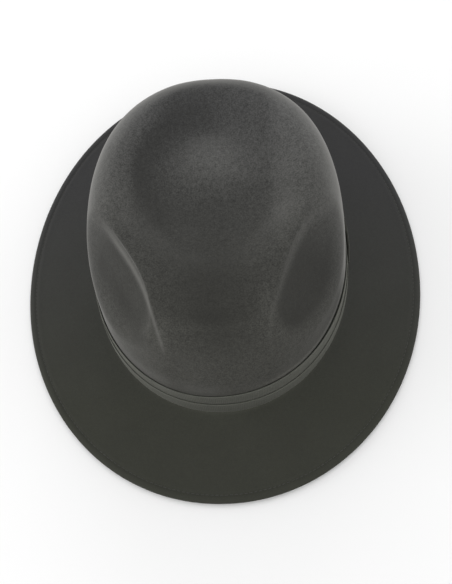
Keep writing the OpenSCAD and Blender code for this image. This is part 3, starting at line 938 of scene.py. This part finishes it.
def build_bow_knot():
    """The wrap that covers the roots of the loops."""
    knot_a = np.linspace(-KNOT_HALF_W, KNOT_HALF_W, 41) / DEGREE_AT_SIDE
    share = np.abs(knot_a) / knot_a.max()
    knot_off = KNOT_OFF + 0.25 * bell(knot_a * 1.2, 2.2) - 0.5 * share**6
    low = np.full(len(knot_a), knot_low[2] - 0.1)
    high = np.full(len(knot_a), knot_high[2] + 0.1)
    strip = ribbon_strip(BOW_A + knot_a, knot_off, low, high, BOW_PLY)
    ribbon_piece("bow_knot_wrap", "bow_knot", [strip], grosgrain)


def build_bow_tacks():
    """Four short stitches on the knot."""
    bars = []
    off = KNOT_OFF + 0.25 + BOW_PLY / 2
    for a in (BOW_A - 2.3, BOW_A + 2.3):
        for z in (knot_low[2] + 3.5, knot_high[2] - 3.5):
            start, end = wall_point(a, z - 1.1, off), wall_point(a, z + 1.1, off)
            bars.append(thread_sections(start, end, (1, 0, 0), 0.2, 0.15))
    on_hat(bars_object("bow_thread", bars, brim_thread), "bow_tacks")


def build_band_tacks():
    """Pairs of small stitches that hold the ribbon's top edge to the crown."""
    bars = []
    for a in (-150, -120, -60, -30, 45, 90, 135, 180):
        top = band_high[2] - band_dip(a)
        for shift in (-0.25, 0.25):
            foot = wall_point(a + shift, top - 1.6, BAND_PROUD + 0.35)
            tip = wall_point(a + shift * 1.6, top + 0.5, 0.1)
            bars.append(thread_sections(foot, tip, wall_point(a, top, 10) - wall_point(a, top, 0), 0.16, 0.2))
    on_hat(bars_object("band_thread", bars, brim_thread), "band_tacks")


# ---- sweatband

SWEAT_LEAN = 0.6  # how far the leather's top stands off the wall beyond its foot
LEATHER_T = 1.0
LEATHER_IN = BASE_W - sweat_high[0]  # how far the back of the leather lies inside the felt's outer face
LEATHER_FACE = LEATHER_IN + LEATHER_T
SEWN_UP = 2.9  # height of the stitch row over the leather's lower edge


def seam_columns():
    """Directions around the leather, closer together next to the seam at the back."""
    extra = 90 + np.linspace(-3, 3, 41)
    plain = around[(around < 86.5) | (around > 93.5)]
    return np.sort(np.concatenate([plain, extra]))


def build_sweatband():
    """Leather ring with soft waves, a groove at its seam, a sewn-in foot and a rounded top edge."""
    a = seam_columns()
    z0, z1 = sweat_low[2], sweat_high[2]
    rings = []
    groove = 0.45 * bell((a - 90) * 1.83, 0.8)
    for z in np.linspace(z0, z1 - 0.5, 26):
        share = (z - z0) / (z1 - z0)
        probe = wall_point(a, z, -LEATHER_IN)
        wave = 0.35 * share * (rumple(probe, 55, 5) + 1) + 0.10 * rumple(probe, 18, 6)
        tuck = 0.25 * bell(z - z0 - SEWN_UP, 0.5)
        lean = SWEAT_LEAN * share
        rings.append(wall_point(a, z, -LEATHER_FACE - lean - wave + groove + tuck))
    rim = rings[-1]
    back = wall_point(a, z1 - 0.5, -LEATHER_IN - SWEAT_LEAN)
    middle = (rim + back) / 2
    for turn in (40, 75, 105, 140):
        share = (1 - cos_d(turn)) / 2
        ring = mix(rim, back, share)
        ring[:, 2] = middle[:, 2] + 0.5 * sin_d(turn)
        rings.append(ring)
    for z in np.linspace(z1 - 0.5, z0, 6):
        rings.append(wall_point(a, z, -LEATHER_IN - SWEAT_LEAN * (z - z0) / (z1 - z0)))
    on_hat(ring_object("leather_sweatband", rings, leather), "sweatband")


def build_reed():
    """Cord in the leather's lower edge."""
    radius = (reed_high[2] - reed_low[2]) / 2
    centre_in = BASE_W - reed_high[0] + radius
    height = (reed_high[2] + reed_low[2]) / 2
    rings = []
    for t in np.arange(14) * 360 / 14:
        rings.append(wall_point(around, height + radius * sin_d(t), radius * cos_d(t) - centre_in))
    on_hat(ring_object("reed_cord", rings, reed_cloth), "sweatband_reed")


def build_tape():
    """Flat cloth tape between the leather and the felt."""
    face = BASE_W - tape_high[0]
    back = face + 0.25
    rings = []
    for z, depth in ((tape_low[2], face), (tape_high[2], face), (tape_high[2], back), (tape_low[2], back)):
        rings.append(wall_point(around, z, -depth))
    on_hat(ring_object("reed_tape_strip", rings, tape_cloth), "reed_tape")


def build_sweatband_stitches():
    """The thread row that joins leather and tape."""
    z = sweat_low[2] + SEWN_UP
    step = 1.45
    count = int(360 / step)
    bars = []
    for a in np.arange(count) * 360 / count:
        start = wall_point(a, z, -LEATHER_FACE - 0.05)
        end = wall_point(a + step * 0.72, z, -LEATHER_FACE - 0.05)
        bars.append(thread_sections(start, end, (-start[0], -start[1], 0), 0.2, 0.25))
    on_hat(bars_object("sweatband_thread", bars, leather_thread), "sweatband_stitching")


def build_sweatband_seam():
    """Zigzag thread that joins the leather's ends at the back."""
    legs = 24
    low, high = sweat_low[2] + 4.5, sweat_high[2] - 2.5
    bars = []
    for i in range(legs):
        side = 0.85 if i % 2 else -0.85
        start = wall_point(90 + side, mix(low, high, i / legs), -LEATHER_FACE - 0.35)
        end = wall_point(90 - side, mix(low, high, (i + 1) / legs), -LEATHER_FACE - 0.35)
        bars.append(thread_sections(start, end, (0, -1, 0), 0.2, 0.22))
    on_hat(bars_object("sweatband_seam_thread", bars, leather_thread), "sweatband_seam")


def build_sweatband_bow():
    """Small ribbon bow over the seam at the back: two folded loops and a knot."""
    low, high = box_mm("sweatband_bow")
    face = BASE_L - high[1] + 0.35
    length = 10.5
    fold_r = 0.9
    gap = 0.3
    out = np.linspace(0.6, length, 26)
    back = out[::-1]
    turns = np.array([60, 30, 0, -30, -60])
    from_knot = np.concatenate([out, length + fold_r * cos_d(turns) / DEGREE_AT_BACK, back])
    fold_depth = gap + fold_r * (1 - sin_d(turns))
    depth = np.concatenate([np.full(len(out), gap), fold_depth, gap + fold_r * (1 + ease(back / 4))])
    narrowing = 0.6 + 1.2 * bell(from_knot, 3.5)
    strips = []
    for side in (-1, 1):
        path_a = 90 + side * from_knot
        strips.append(ribbon_strip(path_a, -face - depth, low[2] + narrowing, high[2] - narrowing, 0.35))
    knot_a = 90 + np.linspace(-1.6, 1.6, 15)
    knot_off = -face - 2.0 - 0.5 * bell(knot_a - 90, 1.1)
    ends = np.full(len(knot_a), low[2] + 0.3), np.full(len(knot_a), high[2] - 0.3)
    strips.append(ribbon_strip(knot_a, knot_off, *ends, 0.5))
    ribbon_piece("sweatband_back_bow", "sweatband_bow", strips, small_ribbon)


# ---- lining

LINING_IN = 2.4  # how far the side lies inside the felt's outer face, behind the leather
LINING_SLACK = 2.6  # how much further in it hangs above the leather
LINING_T = 0.3
TIP_IN = LINING_IN + LINING_SLACK
SEAM_CLIMB = 42.75  # climb of the seam between side and tip


def lining_point(a, climb, extra=0.0):
    """Point of the lining, which hangs further from the felt above the leather than behind it."""
    z = crown_point(a, climb, LINING_IN)[..., 2]
    inset = LINING_IN + LINING_SLACK * ease((z - sweat_high[2]) / 25)
    return crown_point(a, climb, inset + extra)


def gathers():
    """Soft folds of the satin, between 0 and 1 around the hat."""
    depth = 0.6 + 0.4 * sin_d(7 * around)
    return 0.5 + 0.5 * sin_d(around * 46 + 25 * sin_d(3 * around)) * depth


def build_lining_side():
    """Satin side, gathered towards the piped seam."""
    climbs = np.linspace(5, 42, 36)
    face = [lining_point(around, climb, 0.9 * ease((climb - 28) / 14) * gathers()) for climb in climbs]
    back = []
    for climb, ring in zip(climbs[::-1], face[::-1]):
        back.append(ring + crown_point(around, climb, 9.0) - crown_point(around, climb, 9.0 - LINING_T))
    on_hat(ring_object("lining_side_panel", face + back, satin), "lining_side")


def build_lining_tip():
    """Satin oval under the top, gathered along its edge."""
    over, under = [], []
    for climb in even_climbs(160, 88.5):
        if climb <= SEAM_CLIMB + 0.6:
            continue
        gather = 0.7 * bell(climb - SEAM_CLIMB, 5.0) * gathers()
        over.append(crown_point(around, climb, TIP_IN))
        under.append(crown_point(around, climb, TIP_IN + LINING_T + gather))
    first, last = crown_point(0.0, 90.0, TIP_IN), crown_point(0.0, 90.0, TIP_IN + LINING_T)
    obj = pole_object("lining_tip_panel", first, over[::-1] + under, last, satin)
    on_hat(obj, "lining_tip")


def build_piping():
    """Twisted cord in the seam between side and tip, pressed a little flat."""
    cord_in = TIP_IN + 1.5
    pressed = 0.75
    rings = []
    for t in np.arange(12) * 30.0:
        strand = 0.75 + 0.10 * cos_d(3 * t + around * 160)
        climb = SEAM_CLIMB + 0.5 * strand * sin_d(t)
        rings.append(crown_point(around, climb, cord_in - pressed * strand * cos_d(t)))
    on_hat(ring_object("lining_piping_cord", rings, piping_cord), "lining_piping")


def build_lining_tacks():
    """Single small stitches that hold the lining's lower edge."""
    bars = []
    low, high = box_mm("lining_tacks")
    z = (low[2] + high[2]) / 2
    tack_in = BASE_W - tape_high[0] + 0.35
    for a in (-155, -125, -90, -55, -25, 30, 60, 120, 150):
        start, end = wall_point(a, z - 0.9, -tack_in), wall_point(a, z + 0.9, -tack_in)
        bars.append(thread_sections(start, end, (-start[0], -start[1], 0), 0.09, 0.05))
    on_hat(bars_object("lining_thread", bars, brim_thread), "lining_tacks")


build_felt()
build_brim_stitches()
build_band(
    "ribbon_band", "hat_band", band_low[2], band_high[2],
    off=0.15, proud=BAND_PROUD, flare=0.20, dip=1.0)
build_band(
    "ribbon_overlay", "hat_band_overlay", overlay_low[2], overlay_high[2],
    off=BAND_PROUD + 0.1, proud=OVERLAY_PROUD, flare=0.10, dip=0.0)
build_bow_loops()
build_bow_tail()
build_bow_knot()
build_bow_tacks()
build_band_tacks()
build_sweatband()
build_reed()
build_tape()
build_sweatband_stitches()
build_sweatband_seam()
build_sweatband_bow()
build_lining_side()
build_lining_tip()
build_piping()
build_lining_tacks()

# ---- floor, light and camera


def build_floor():
    """Pale floor just under the hat; its tone varies a little."""
    low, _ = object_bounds()
    size = 4.0
    z = low.z - 0.0002
    n = Nodes("pale_floor")
    tone = n.remap(n.noise(n.position(), 3.0, 2.0), 0.3, 0.7, 0.985, 1.0)
    n.finish(n.scale_colour((0.93, 0.93, 0.93), tone), 0.9, specular=0.1)
    corners = np.array([(-size, -size, z), (size, -size, z), (size, size, z), (-size, size, z)]) / MM
    floor = mesh_object("floor", corners, [[0, 1, 2, 3]], n.material, smooth=False)


def softbox(name, azimuth, elevation, size, energy):
    """Square soft light 1.5 m from the crown; azimuth 0 is in front, 90 on the wearer's left."""
    a, e = math.radians(azimuth), math.radians(elevation)
    toward = Vector((math.sin(a) * math.cos(e), -math.cos(a) * math.cos(e), math.sin(e)))
    light = bpy.data.lights.new(name, "AREA")
    light.energy = energy
    light.size = size
    obj = bpy.data.objects.new(name, light)
    bpy.context.scene.collection.objects.link(obj)
    obj.location = Vector((0, 0, 0.08)) + toward * 1.5
    obj.rotation_euler = (-toward).to_track_quat("-Z", "Y").to_euler()
    obj.visible_camera = False


def build_light():
    """White surroundings and two soft lights, on the wearer's right and behind."""
    world = bpy.data.worlds.new("studio")
    bpy.context.scene.world = world
    world.use_nodes = True
    background = world.node_tree.nodes["Background"]
    background.inputs["Color"].default_value = (1.0, 1.0, 1.0, 1.0)
    background.inputs["Strength"].default_value = 1.0
    softbox("right_hand_softbox", 270, 16, 0.8, 4.5)
    softbox("back_softbox", 180, 18, 0.8, 4.0)


def build_camera():
    """Camera above the front of the hat, slightly to the wearer's left and tilted on its own axis."""
    azimuth, elevation, roll = (math.radians(v) for v in (7.34, 62.93, -8.88))
    distance = 0.600
    sensor = 36.0
    lens = 56.22
    target = Vector((5.15, -36.25, 40.0)) * MM
    flat = math.cos(elevation)
    back = Vector((math.sin(azimuth) * flat, -math.cos(azimuth) * flat, math.sin(elevation)))
    right = Vector((math.cos(azimuth), math.sin(azimuth), 0))
    up = back.cross(right)
    turned_right = right * math.cos(roll) + up * math.sin(roll)
    turned_up = up * math.cos(roll) - right * math.sin(roll)
    camera = bpy.data.cameras.new("camera")
    camera.sensor_width = sensor
    camera.lens = lens
    camera.clip_start = 0.01
    obj = bpy.data.objects.new("camera", camera)
    bpy.context.scene.collection.objects.link(obj)
    matrix = Matrix((turned_right, turned_up, back)).transposed().to_4x4()
    matrix.translation = target + back * distance
    obj.matrix_world = matrix
    bpy.context.scene.camera = obj


build_floor()
build_light()
build_camera()
bpy.context.scene.view_settings.view_transform = "Standard"
